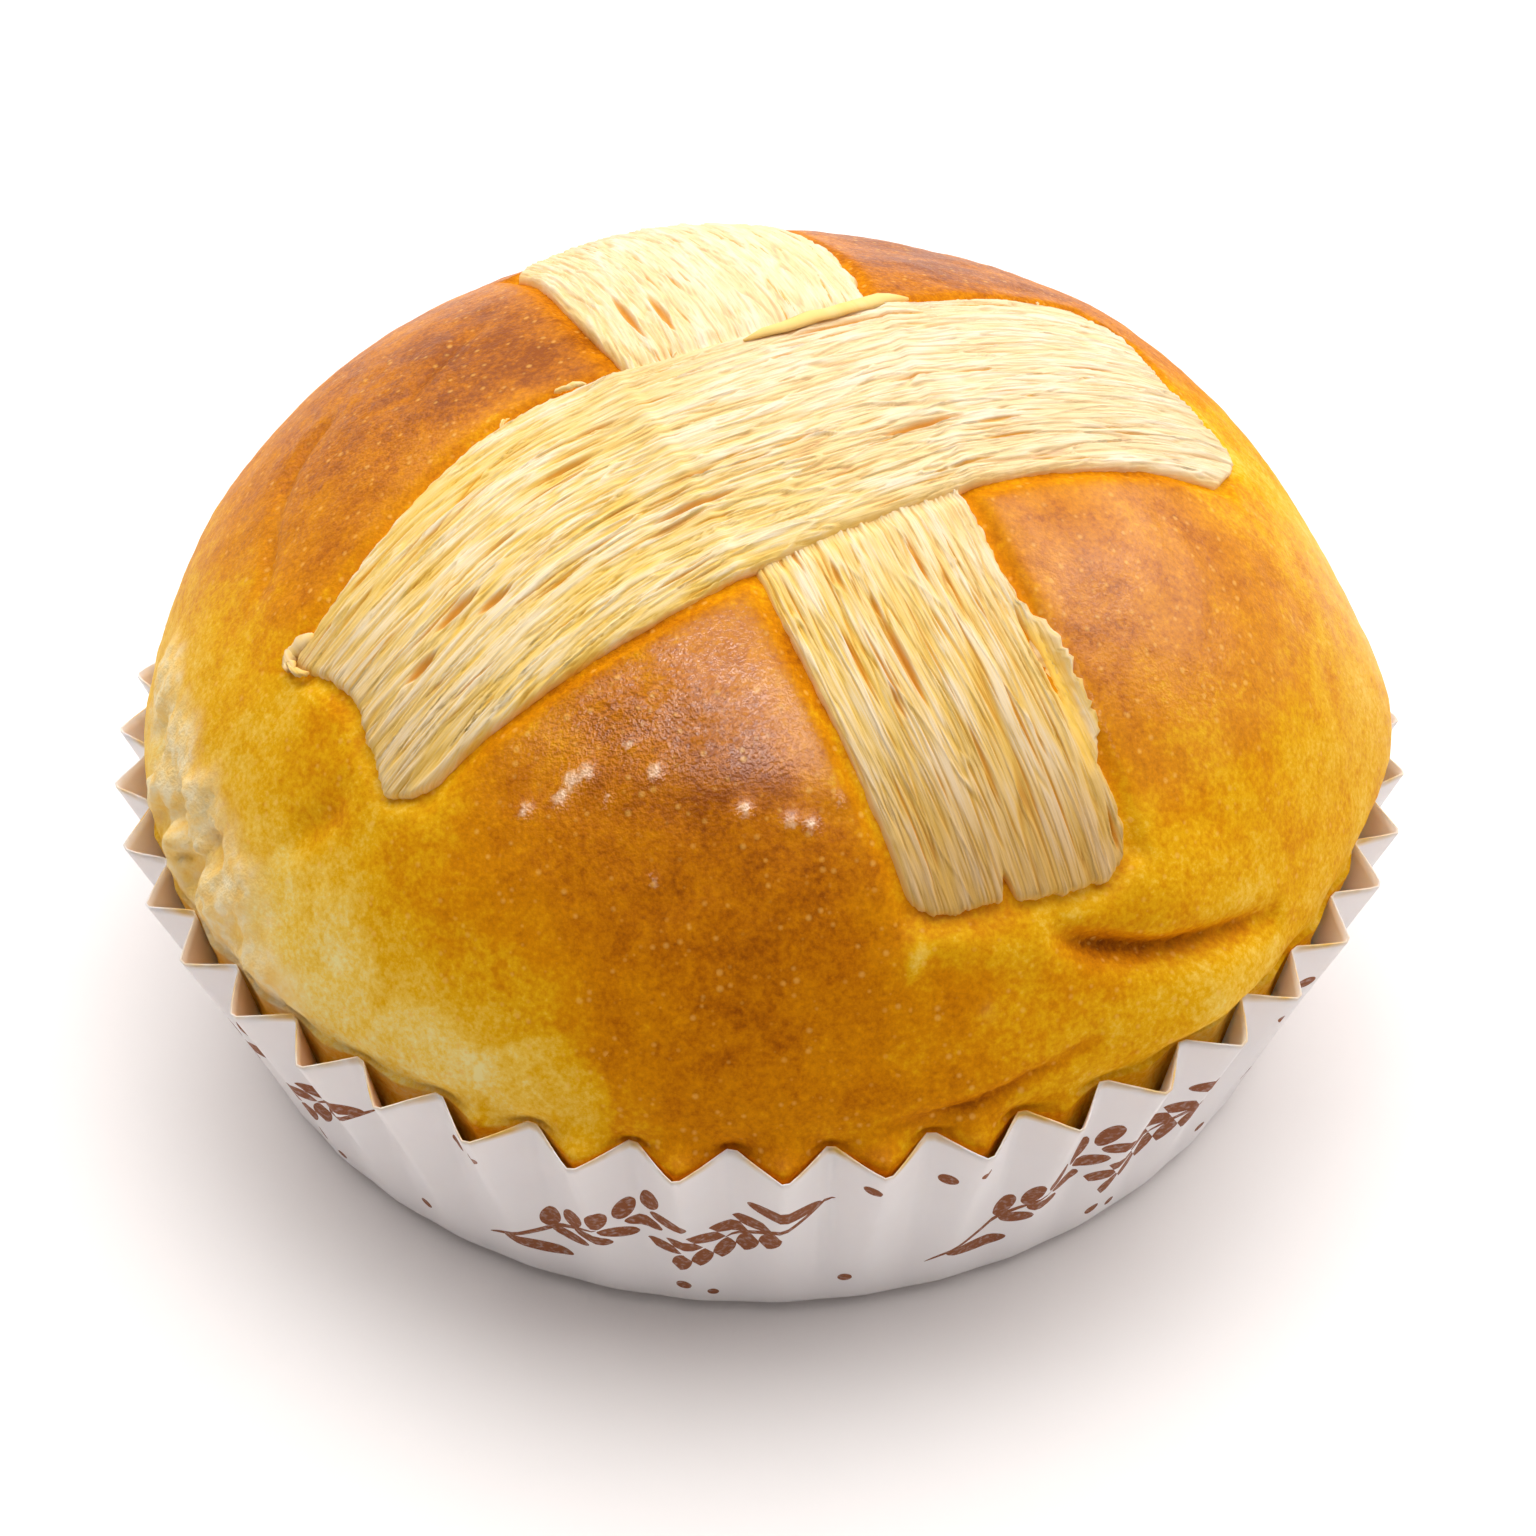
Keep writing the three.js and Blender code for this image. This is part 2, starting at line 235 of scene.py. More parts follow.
# Tones from low to high: level, then red, green and blue as they look on screen
CRUST_TONES = [(0.00, 252, 228, 150), (0.20, 252, 206, 84), (0.40, 240, 177, 16), (0.60, 223, 140, 4),
               (0.80, 197, 112, 4), (1.00, 150, 75, 5)]
CRUMB_TONES = [(0.30, 255, 209, 122), (0.48, 255, 222, 154), (0.66, 255, 234, 190)]
# The strips' low tones, between the fibres, are partly their own colour and partly painted shade.
STRIP_TONES = [(0.00, 222, 156, 44), (0.35, 249, 205, 98), (0.65, 253, 217, 141), (1.00, 255, 234, 198)]
# Light specks of the crust: spacing, and the largest one's radius as a share of it
SPECK_SPACING = 0.9
SPECK_SIZE = 0.3
WASH_COVER = 0.75

# Print of the case, repeated round it: wheat ears as (place, turn, length), dots as (place, radius)
PRINT_CELLS = 9
PRINT_EARS = [((-9.5, 9.5), -56, 13.0), ((9.0, 14.5), 122, 10.5)]
PRINT_DOTS = [((-15.5, 19.0), 0.7), ((-13.0, 20.5), 0.5), ((1.5, 4.0), 0.7), ((4.0, 3.0), 0.5),
              ((15.5, 5.0), 0.6), ((16.5, 21.0), 0.6)]

# Thin paper scatters light through itself
PAPER_FEEL = {"Roughness": 0.6, "IOR": 1.2, "Subsurface Weight": 0.3, "Subsurface Radius": (1.0, 0.85, 0.7),
              "Subsurface Scale": 0.0004}
# Side that the studio's light comes from
BRIGHT_SIDE = (0.42, 0.91, 0.0)


def smooth(value, low, high):
    share = np.clip((value - low) / (high - low), 0.0, 1.0)
    return share * share * (3.0 - 2.0 * share)


def soft_noise(points, size, seed, octaves=2):
    """Noise from about -1 to 1 at an array of points, with blobs of a size that may differ by axis."""
    scaled = np.asarray(points, float) / np.asarray(size, float) + np.array([7.3, 3.1, 5.7]) * seed
    return np.array([noise.fractal(p, 1.0, 2.0, octaves) for p in scaled.tolist()])


def layered(points, layers):
    return sum(height * soft_noise(points, size, seed, octaves) for height, size, seed, octaves in layers)


def flat_noise(first, second, size, seed, octaves=2):
    """The same noise in a plane."""
    return soft_noise(np.stack([first, second, np.zeros(len(first))], axis=1), (*size, 1.0), seed, octaves)


def course_at(course, share):
    """A smooth curve through evenly spaced stations, at an array of shares of its length."""
    stations = np.array(course, float)
    last = len(stations) - 1
    reach = np.clip(share, 0.0, 1.0) * last
    step = np.minimum(reach.astype(int), last - 1)
    t = reach - step
    if stations.ndim > 1:
        t = t[:, None]
    before, start = stations[np.maximum(step - 1, 0)], stations[step]
    end, after = stations[step + 1], stations[np.minimum(step + 2, last)]
    leave, arrive = (end - before) / 2, (after - start) / 2
    return ((2 * start - 2 * end + leave + arrive) * t**3
            + (3 * end - 3 * start - 2 * leave - arrive) * t**2 + leave * t + start)


def unit(vectors):
    return vectors / np.maximum(np.linalg.norm(vectors, axis=1, keepdims=True), 1e-9)


def move_to(bm, places):
    for vert, place in zip(bm.verts, places.tolist()):
        vert.co = place


# Crust

def dome_reach(rise):
    level = (np.cos(rise) / WAIST_RADIUS) ** DOME_FULLNESS + (np.sin(rise) / DOME_HEIGHT) ** DOME_FULLNESS
    return level ** (-1 / DOME_FULLNESS)


def dome_normal(points):
    radius = np.maximum(np.hypot(points[:, 0], points[:, 1]), 1e-6)
    outward = (radius / WAIST_RADIUS) ** (DOME_FULLNESS - 1) / WAIST_RADIUS
    upward = (np.maximum(points[:, 2], 0) / DOME_HEIGHT) ** (DOME_FULLNESS - 1) / DOME_HEIGHT
    normal = np.stack([points[:, 0] * outward / radius, points[:, 1] * outward / radius, upward], axis=1)
    return unit(normal)


def towards(place):
    azimuth, rise = np.radians(place)
    level = math.cos(rise)
    return np.array([level * math.cos(azimuth), level * math.sin(azimuth), math.sin(rise)])


def on_dome(place):
    return towards(place) * dome_reach(np.radians(place[1]))


def in_patch(points, place, extent):
    """How fully points lie in a soft round patch of the crust, from 0 to 1."""
    apart = np.arccos(np.clip(unit(points) @ towards(place), -1, 1)) / math.radians(extent)
    return np.exp(-apart * apart)


def along_mark(points, places, width):
    """How fully points lie in a soft line through places of the crust that fades at its ends."""
    strength = np.zeros(len(points))
    shares = np.linspace(0, 1, 6 * len(places))
    stops = [on_dome(place) for place in course_at(places, shares)]
    for start, end, share in zip(stops, stops[1:], shares):
        stretch = end - start
        part = np.clip((points - start) @ stretch / (stretch @ stretch), 0, 1)
        apart = np.linalg.norm(points - start - part[:, None] * stretch, axis=1)
        fade = math.sin(math.pi * (0.08 + 0.84 * share)) ** 0.7
        strength = np.maximum(strength, fade * np.exp(-((apart / width) ** 2)))
    return strength


def strip_axes(strip):
    forward = np.array([math.cos(strip["heading"]), math.sin(strip["heading"]), 0.0])
    return forward, np.array([-forward[1], forward[0], 0.0])


def inside_strip(strip, points):
    """Distance in millimetres from points of the dome to a strip's outline, positive inside it."""
    forward, left = strip_axes(strip)
    lean = np.arctan2(points @ forward, np.maximum(points[:, 2], 0))
    station = course_at(strip["course"], (lean - strip["tail"]) / (strip["head"] - strip["tail"]))
    side = points @ left - station[:, 0]
    share = np.clip(side / station[:, 1], -1, 1) / 2 + 0.5
    reach = np.linalg.norm(points, axis=1)
    to_head = (strip["head"] - lean) * reach + course_at(strip["head_line"], share)
    to_tail = (lean - strip["tail"]) * reach + course_at(strip["tail_line"], share)
    return np.minimum(station[:, 1] - np.abs(side), np.minimum(to_head, to_tail))


def crust_offset(points):
    """How far the crust stands off the plain dome, along the dome's normal."""
    over, under = (smooth(inside_strip(strip, points), -PRESS_MARGIN - PRESS_RAMP, -PRESS_MARGIN)
                   for strip in (STRIP_OVER, STRIP_UNDER))
    free = 1 - np.maximum(over, under)
    offset = -PRESS_DEPTH * np.maximum(over, under) - CROSSING_DEPTH * np.minimum(over, under)
    for place, extent, height in SWELLINGS:
        offset += free * height * in_patch(points, place, extent)
    return offset


def bun_profile():
    """Half outline of the bun from the middle of its sole, as (radius, height above the waist)."""
    wall_start = SOLE_HEIGHT + SOLE_ROUNDING
    middle = wall_limit(wall_start) - SOLE_ROUNDING
    outline = [(0.0, SOLE_HEIGHT)]
    for row in range(SOLE_ROWS):
        turn = math.pi / 2 * row / SOLE_ROWS
        radius = middle + SOLE_ROUNDING * math.sin(turn)
        outline.append((radius, wall_start - SOLE_ROUNDING * math.cos(turn)))
    for row in range(WALL_ROWS):
        height = WAIST_HEIGHT - (WAIST_HEIGHT - wall_start) * (1 - row / WALL_ROWS) ** 1.8
        outline.append((wall_limit(height), height))
    for row in range(DOME_ROWS):
        rise = math.pi / 2 * row / DOME_ROWS
        reach = dome_reach(rise)
        outline.append((reach * math.cos(rise), WAIST_HEIGHT + reach * math.sin(rise)))
    outline.append((0.0, WAIST_HEIGHT + DOME_HEIGHT))
    return [(radius, height - WAIST_HEIGHT) for radius, height in outline]


def torn_share(points):
    """How far the crumb shows, from 0 to 1, with a ragged border."""
    torn = np.zeros(len(points))
    for place, extent in TORN:
        torn = np.maximum(torn, in_patch(points, place, extent))
    torn += 0.25 * soft_noise(points, 4.0, 12, 3)
    return smooth(torn, 0.2, 0.85) * smooth(points[:, 2], -3.0, 0.5)


def case_fill(points):
    """How far the soft bun swells into the pleats below the rim and over the rim above it."""
    azimuth, height = np.arctan2(points[:, 1], points[:, 0]), points[:, 2]
    wave = fold_wave(azimuth + FOLD_CROWDING * np.sin(azimuth) - fold_drift(azimuth))
    opening = smooth(height, -6.0, -3.0) * (1 - smooth(-np.sin(azimuth), 0.86, 0.99))
    fill = np.maximum(1 + wave - FOLD_SLACK, 0) * (1 - (1 - RIM_FILL) * opening)
    pocket = fill * pleat_reach(height + WAIST_HEIGHT) * smooth(height, -12.0, -4.0)
    bulge = RIM_BULGE * np.exp(-(((height - 2.0) / 4.5) ** 2))
    over = smooth(height, -0.8, 2.0)
    return pocket * (1 - over) + bulge * over


def browning(points, rise, beside):
    """How brown the crust is, from pale at 0 to dark at 1."""
    bake = RIM_BAKE + TOP_BAKE * smooth(rise, 3, 36)
    for place, extent, amount in BROWNING:
        bake += amount * in_patch(points, place, extent)
    unevenness = 0.12 * soft_noise(points, 3.0, 9)
    for place, extent in UNWASHED:
        bake -= 0.15 * smooth(in_patch(points, place, extent) + unevenness, 0.44, 0.54)
    return bake - 0.1 * smooth(beside, -5.0, 0.0) + 0.06 * soft_noise(points, 9.0, 6, 3)


def sheen(points, rise, torn):
    """How thick the egg wash lies, and how grainy it is."""
    wash, peel = 0.25 * smooth(rise, 24, 44), 0.6 * torn
    for place, extent, amount, grain, lowest in GLOSS:
        share = in_patch(points, place, extent) * smooth(rise, lowest - 2, lowest + 2)
        wash += amount * share
        peel += grain * share
    return wash, peel


def crumb_relief(points):
    """Height of the torn crumb, and how fully points lie in its pockets."""
    crags = layered(points, CRAGS) + CRAG_RISE
    pocket = np.zeros(len(points))
    unevenness = 0.8 * soft_noise(points, (1.8, 1.8, 1.3), 7, 3)
    for place, extent, height in CRUMB_LUMPS:
        share = smooth(in_patch(points, place, extent) * (1 + unevenness), 0.15, 0.8)
        crags += height * share
        pocket = np.maximum(pocket, -height * share)
    return TORN_DEPTH * crags * smooth(points[:, 2], -0.5, 2.5), np.clip(pocket, 0, 1)


def spin_bun():
    """The plain bun, with its waist at height 0."""
    bm = bmesh.new()
    corners = [bm.verts.new((radius, 0, height)) for radius, height in bun_profile()]
    edges = [bm.edges.new(pair) for pair in zip(corners, corners[1:])]
    bmesh.ops.spin(bm, geom=corners + edges, cent=(0, 0, 0), axis=(0, 0, 1), angle=math.tau,
                   steps=BUN_SEGMENTS, use_merge=True)
    bmesh.ops.remove_doubles(bm, verts=bm.verts, dist=WELD)
    bmesh.ops.recalc_face_normals(bm, faces=bm.faces)
    return bm


def make_bun():
    bm = spin_bun()
    points = np.array([v.co for v in bm.verts])
    rise = np.degrees(np.arctan2(points[:, 2], np.hypot(points[:, 0], points[:, 1])))
    beside = np.maximum(inside_strip(STRIP_OVER, points), inside_strip(STRIP_UNDER, points))
    torn, foam_and_glint = torn_share(points), np.zeros(len(points))
    offset = crust_offset(points) + layered(points, SKIN)
    bake = browning(points, rise, beside)
    # Folds get painted shade and ridges a painted highlight, added to the crust's browning.
    for places, depth, width, painted_shading in MARKS:
        share = along_mark(points, places, width)
        offset -= depth * share
        bake += painted_shading * share
    for place, extent in BLISTERS:
        share = in_patch(points, place, extent)
        offset += BLISTER_HEIGHT * share
        foam_and_glint = np.maximum(foam_and_glint, share)
    crags, pocket = crumb_relief(points)
    offset = smooth(points[:, 2], -0.3, 1.8) * offset + torn * crags + case_fill(points)
    move_to(bm, points + dome_normal(points) * offset[:, None])
    wash, peel = sheen(points, rise, torn)
    wash = np.clip(wash * (1 - smooth(beside, -2.5, -0.8)) + foam_and_glint, 0, 1) * (1 - torn)
    # In the crumb's pockets its light tone gives way to the darker crust tone, as painted shade.
    torn = torn * (1 - 0.45 * pocket)
    paint(bm, {"bake": bake, "wash": wash, "torn": torn, "foam_and_glint": foam_and_glint, "peel": peel})
    return make_piece("bun_crust", bm, [crust_material()], WAIST_HEIGHT)


# Strips

def under_strip(strip, along, offset):
    """Points of the dome under a strip, at shares of its length and offsets left of the heart."""
    forward, left = strip_axes(strip)
    lean = strip["tail"] + (strip["head"] - strip["tail"]) * along
    start = offset[:, None] * left
    ray = np.sin(lean)[:, None] * forward
    ray[:, 2] = np.cos(lean)
    near, far = np.zeros(len(along)), np.full(len(along), 2 * WAIST_RADIUS)
    for _ in range(36):
        reach = (near + far) / 2
        point = start + reach[:, None] * ray
        rise = np.arctan2(point[:, 2], np.hypot(point[:, 0], point[:, 1]))
        inner = np.linalg.norm(point, axis=1) < dome_reach(np.maximum(rise, 0))
        near, far = np.where(inner, reach, near), np.where(inner, far, reach)
    return start + near[:, None] * ray


def strip_length(strip):
    return (strip["head"] - strip["tail"]) * (WAIST_RADIUS + DOME_HEIGHT) / 2


def slits_of(strip):
    """The slits seen between the fibres, and small seeded ones."""
    draw = random.Random(strip["seed"])
    slits = list(strip["slits"])
    for count, shortest, longest, finest, widest in SEEDED_SLITS:
        for _ in range(count):
            slits.append((draw.uniform(0.03, 0.97), draw.uniform(-0.94, 0.94),
                          draw.uniform(shortest, longest), draw.uniform(finest, widest)))
    return slits


def fibre_relief(strip, run, side, half):
    """Fibres, broad ribbons of them and slits of a strip, each from 0 to 1, and the depth that they make."""
    seed, length = strip["seed"], strip_length(strip)
    wander = 0.5 * flat_noise(run, side, (26, 7), seed) + 0.12 * flat_noise(run, side, (8, 2), seed + 1)
    side = side + wander
    slit, depth = np.zeros(len(run)), np.zeros(len(run))
    for along, across, reach, width in slits_of(strip):
        lengthways = (run - along * length) / reach
        sideways = (side - across * half) / width
        share = np.clip(1 - lengthways**2 - np.abs(sideways), 0, 1)
        slit = np.maximum(slit, share)
        depth = np.maximum(depth, share * min(DEEPEST_SLIT, SLIT_STEEPNESS * width))
    ribbon = smooth(flat_noise(run, side, (15, 1.3), seed + 2), -0.45, 0.5)
    lines = np.zeros(len(run))
    for reach, spacing, width, strength in FIBRES:
        valley = np.abs(flat_noise(run, side, (reach, spacing), seed + 3 + strength, 1))
        unbroken = flat_noise(run, side, (reach / 2, 2 * spacing), seed + 4 + strength, 1)
        line = smooth(unbroken, -0.25, 0.2) * (1 - smooth(valley, 0, width))
        lines = np.maximum(lines, strength * line)
    stray = 1 - smooth(np.abs(flat_noise(run, side - 0.06 * run, (14, 1.4), seed + 4, 1)), 0.01, 0.05)
    crest = np.maximum(1 - lines, stray)
    depth = depth + RIBBON_DEPTH * (1 - ribbon) + FIBRE_DEPTH * (1 - crest) - STRAY_HEIGHT * stray
    return crest, ribbon, smooth(slit, 0, 0.6), depth


def strip_edges(strip, along, across, run):
    """How far ragged edges and torn flaps widen a strip, and how fully points lie on flaps."""
    seed, far_side = strip["seed"], np.sign(across) * EDGES_APART
    stray = flat_noise(run, far_side, (5, 1), seed + 5) + flat_noise(run, far_side, (0.8, 1), seed + 6, 3)
    right, left = strip["raggedness"]
    wider, flap = stray * np.where(across < 0, right, left) * np.abs(across) ** 3, np.zeros(len(run))
    for side, start, end, reach in strip["flaps"]:
        share = np.sin(np.clip((along - start) / (end - start), 0, 1) * math.pi) ** 0.6
        teeth = 1 + 0.3 * flat_noise(run, far_side, (0.6, 1), seed + 9, 3)
        wider += reach * share * teeth * smooth(across * side, 0.75, 1.0)
        flap = np.maximum(flap, share * smooth(across * side, 0.80, 0.87))
    return wider, flap


def beyond_ends(strip, along, across, side):
    """How far points are drawn out past a strip's ends, or held back from them."""
    far_end, share = np.sign(along - 0.5) * EDGES_APART, (across + 1) / 2
    frayed = 0.2 * flat_noise(far_end, side, (1, 2.5), strip["seed"] + 7)
    frayed += 0.2 * flat_noise(far_end, side, (1, 0.5), 8, 3)
    beyond_head = course_at(strip["head_line"], share) + frayed
    beyond_tail = course_at(strip["tail_line"], share) + frayed
    for place, width, depth in strip["notches"]:
        beyond_head = beyond_head - depth * np.exp(-(((across - place) / width) ** 2))
    return smooth(along, 0.75, 1.0) * beyond_head - smooth(along, 0.25, 0.0) * beyond_tail


def strip_surface(strip, along, across, below=None, above=None):
    """Upper side of a strip at shares along (0 to 1) and across (-1 to 1): points, their looks, flat map."""
    length, station = strip_length(strip), course_at(strip["course"], along)
    run = along * length
    wider, flap = strip_edges(strip, along, across, run)
    half = station[:, 1] + wider
    side = across * half
    stretch = beyond_ends(strip, along, across, side) / length
    base = under_strip(strip, along + stretch, station[:, 0] + side)
    crest, ribbon, slit, depth = fibre_relief(strip, run, side, station[:, 1])
    to_side, to_end = half - np.abs(side), np.minimum(along, 1 - along) * length
    corner = CORNER_ROUNDING - np.hypot(np.maximum(CORNER_ROUNDING - to_side, 0),
                                        np.maximum(CORNER_ROUNDING - to_end, 0))
    edge = np.clip(corner / EDGE_ROUNDING, 0, 1)
    fringe = flap * smooth(np.abs(across), 0.9, 0.95)
    top = course_at(strip["heights"], along)
    border = np.minimum(top, EDGE_HEIGHT)
    top = border + (top - border) * (1 - np.abs(across) ** 2.5)
    top = top - depth - FLAP_DROP * flap + FRINGE_LIFT * fringe
    height = crust_offset(base) - TUCK
    if below:
        height = height + CROSSING_RISE * smooth(inside_strip(below, base), -5.0, 1.0)
    if above:
        top = top * (1 - CROSSING_SQUEEZE * smooth(inside_strip(above, base), 0.5, 5.0))
    height = height + (top + TUCK) * np.sqrt(1 - (1 - edge) ** 2)
    looks = {"crest": crest, "ribbon": ribbon, "slit": slit, **strip_tints(base)}
    looks["yolk"] = np.maximum(flap - fringe, 0.45 * (1 - flap) * (1 - smooth(corner, 0.1, 0.8)))
    return base + dome_normal(base) * height[:, None], looks, np.stack([run, side], axis=1) / FLAT_UNIT


def strip_tints(base):
    """Paler up at the back as a painted highlight; darker at the front and left, partly toasted, partly
    painted shade.
    """
    painted_light = smooth(base[:, 2] + 0.45 * base[:, 0] + 0.5 * base[:, 1], 14, 40)
    front = smooth(0.3 * base[:, 0] - base[:, 1] - 0.6 * base[:, 2], 14, 42)
    left = 0.4 * smooth(-base.sum(axis=1), 20, 40)
    return {"painted_light": painted_light, "toasted_and_shade": np.maximum(front, left)}


def make_strip(strip, material, below=None, above=None):
    bm = bmesh.new()
    bmesh.ops.create_grid(bm, x_segments=STRIP_ROWS, y_segments=STRIP_COLUMNS, size=1)
    grid = np.array([v.co for v in bm.verts])
    points, looks, flat = strip_surface(strip, (grid[:, 0] + 1) / 2, grid[:, 1], below, above)
    move_to(bm, points)
    close_underside(bm, grid)
    paint(bm, looks, flat)
    return make_piece(strip["name"] + "_fibres", bm, [material], WAIST_HEIGHT)


def close_holes(bm):
    bmesh.ops.holes_fill(bm, edges=[edge for edge in bm.edges if edge.is_boundary])
    bmesh.ops.recalc_face_normals(bm, faces=bm.faces)


def close_underside(bm, grid):
    """Closes a sheet from below: faces from one long border to the other, then the two ends."""
    bm.verts.ensure_lookup_table()
    sides = [edge for edge in bm.edges
             if edge.is_boundary and all(abs(grid[v.index][1]) > 0.9999 for v in edge.verts)]
    bmesh.ops.bridge_loops(bm, edges=sides)
    close_holes(bm)


def strand_list(strip):
    """Shreds and the short fibres of frayed edges: three places, half width, lift, yellowness."""
    draw = random.Random(strip["seed"] + 50)
    strands = list(strip["shreds"])
    for side, first, last, count, yolk in strip["fringes"]:
        for _ in range(count):
            along, length = draw.uniform(first, last), draw.uniform(0.008, 0.02)
            places = [(along + length * share, side * (0.95 + (0.05 + draw.uniform(0, 0.03)) * share))
                      for share in (0, 0.5, 1)]
            strands.append((*places, draw.uniform(0.08, 0.16), 0.05, yolk))
    return strands


def strand_courses(strands, number, share):
    """Where strands run, as shares along and across their strip."""
    start, middle, end = (np.array([strand[part] for strand in strands])[number] for part in range(3))
    t = share[:, None]
    return start * (1 - t) * (1 - 2 * t) + middle * 4 * t * (1 - t) + end * t * (2 * t - 1)


def make_strands(strip, material, below):
    """Shreds and fibres that come loose from a strip, each a thin, flattened and tapered tube."""
    bm = bmesh.new()
    strands = strand_list(strip)
    for _ in strands:
        bmesh.ops.create_grid(bm, x_segments=STRAND_RINGS, y_segments=STRAND_SIDES, size=1)
    grid = np.array([v.co for v in bm.verts])
    share, turn = (grid[:, 0] + 1) / 2, (grid[:, 1] + 1) * math.pi
    number = np.repeat(np.arange(len(strands)), len(grid) // len(strands))
    place = strand_courses(strands, number, share)
    radius, lift, yolk = (np.array([strand[part] for strand in strands])[number] for part in range(3, 6))
    lumps = np.stack([share * 9 + number * 3.1, 1.4 * np.cos(turn), 1.4 * np.sin(turn)], axis=1)
    radius = radius * (1 - STRAND_TAPER * np.abs(2 * share - 1) ** 4)
    radius = radius * (1 + STRAND_LUMPS * soft_noise(lumps, 1.0, strip["seed"]))
    thickness = THICKEST_STRAND * np.tanh(radius / THICKEST_STRAND)
    along, across = np.clip(place[:, 0], 0.01, 0.99), np.clip(place[:, 1], -0.96, 0.96)
    points, looks, flat = strip_surface(strip, along, across, below)
    normal = dome_normal(points)
    sideways = unit(np.cross(normal, strip_axes(strip)[0]))
    forward = np.cross(sideways, normal)
    beyond = (place[:, 1] - across) * course_at(strip["course"], along)[:, 1]
    onward = (place[:, 0] - along) * strip_length(strip)
    rise = lift * np.sin(share * math.pi) - 0.15 * np.abs(beyond) + thickness * (0.3 + np.sin(turn))
    points = points + sideways * (beyond + radius * np.cos(turn))[:, None]
    move_to(bm, points + forward * onward[:, None] + normal * rise[:, None])
    crest = np.clip(0.75 + 0.6 * soft_noise(lumps, (0.8, 0.5, 0.5), strip["seed"] + 1), 0, 1)
    looks.update(crest=crest, ribbon=np.full(len(grid), 0.6), yolk=yolk)
    looks["slit"] = np.zeros(len(grid))
    paint(bm, looks, flat)
    bmesh.ops.remove_doubles(bm, verts=bm.verts, dist=WELD)
    close_holes(bm)
    return make_piece(strip["name"] + "_strands", bm, [material], WAIST_HEIGHT)


# Paper case

def case_radius(height):
    return FOOT_RADIUS + (RIM_RADIUS - FOOT_RADIUS) * height / RIM_HEIGHT


def pleat_reach(height):
    share = np.clip(height / RIM_HEIGHT, 0, 1) ** PLEAT_GROWTH
    return FOOT_PLEAT + (RIM_PLEAT - FOOT_PLEAT) * share


def wall_limit(height):
    """Radius that the bun has to itself inside the case."""
    return case_radius(height) - pleat_reach(height) - PAPER - FIT_GAP


def make_case():
    columns = PLEATS * PLEAT_COLUMNS
    bm = bmesh.new()
    bmesh.ops.create_circle(bm, cap_ends=True, segments=columns, radius=1)
    ring = list(bm.edges)
    steps = [0] * columns
    for step in range(1, WALL_STEPS + CORNER_STEPS + 1):
        grown = bmesh.ops.extrude_edge_only(bm, edges=ring)["geom"]
        ring = [item for item in grown if isinstance(item, bmesh.types.BMEdge) and item.is_boundary]
        steps += [step] * columns
    points = np.array([v.co for v in bm.verts])
    azimuth = np.arctan2(points[:, 1], points[:, 0])
    step = np.array(steps, float)
    corner = np.clip(step / CORNER_STEPS, 0, 1) * math.pi / 2
    climb = np.clip((step - CORNER_STEPS) / WALL_STEPS, 0, 1)
    height = FOOT_ROUNDING * (1 - np.cos(corner)) + (RIM_HEIGHT - FOOT_ROUNDING) * climb
    round_trip = np.stack([np.cos(azimuth), np.sin(azimuth), np.zeros(len(azimuth))], axis=1) * RIM_RADIUS
    wave = fold_wave(azimuth)
    reach = pleat_reach(height) * (1 + 0.1 * soft_noise(round_trip, 5.0, 21)) * np.sin(corner)
    radius = case_radius(height) - FOOT_ROUNDING * (1 - np.sin(corner)) + wave * reach
    turned = azimuth - FOLD_CROWDING * np.sin(azimuth) + fold_drift(azimuth)
    height = height + climb**2 * (0.15 * soft_noise(round_trip, 4.0, 23) - RIM_TILT * wave)
    move_to(bm, np.stack([radius * np.cos(turned), radius * np.sin(turned), height], axis=1))
    bmesh.ops.recalc_face_normals(bm, faces=bm.faces)
    unroll(bm, azimuth, height)
    made = bmesh.ops.solidify(bm, geom=list(bm.faces), thickness=PAPER)
    for item in made["geom"]:
        if isinstance(item, bmesh.types.BMFace):
            item.material_index = 1
    return make_piece("paper_case_pleats", bm, [paper_material(), paper_inside_material()])


def fold_wave(azimuth):
    """The zigzag of the pleats, from -1 at an inner fold to 1 at an outer one."""
    wave = FOLD_SHARPNESS * np.cos((azimuth - FIRST_FOLD) * PLEATS)
    return np.arcsin(wave) / math.asin(FOLD_SHARPNESS)


def fold_drift(azimuth):
    """How unevenly the folds are spaced."""
    return FOLD_DRIFT * flat_noise(np.cos(azimuth), np.sin(azimuth), (0.22, 0.22), 22)


def unroll(bm, azimuth, height):
    """Lays the wall out flat for the print: way round and height."""
    layout = bm.loops.layers.uv.new("wrap")
    turn = (azimuth / math.tau) % 1.0
    for face in bm.faces:
        shares = [turn[loop.vert.index] for loop in face.loops]
        crosses = max(shares) - min(shares) > 0.5
        for loop, share in zip(face.loops, shares):
            wound = share + 1 if crosses and share < 0.5 else share
            way, climb = wound * math.tau * RIM_RADIUS, height[loop.vert.index]
            loop[layout].uv = (way / FLAT_UNIT, climb / FLAT_UNIT)


# Materials

def set_inputs(tree, node, inputs):
    """Fills inputs, named by their sockets or i0, i1 by number, with values or from other nodes' sockets."""
    for name, value in inputs.items():
        by_number = name[0] == "i" and name[1:].isdigit()
        socket = node.inputs[int(name[1:]) if by_number else name.replace("_", " ")]
        if isinstance(value, bpy.types.NodeSocket):
            tree.links.new(value, socket)
        else:
            socket.default_value = value


def place_node(tree, kind, settings=None, **inputs):
    made = tree.nodes.new(kind)
    for name, value in (settings or {}).items():
        setattr(made, name, value)
    set_inputs(tree, made, inputs)
    return made


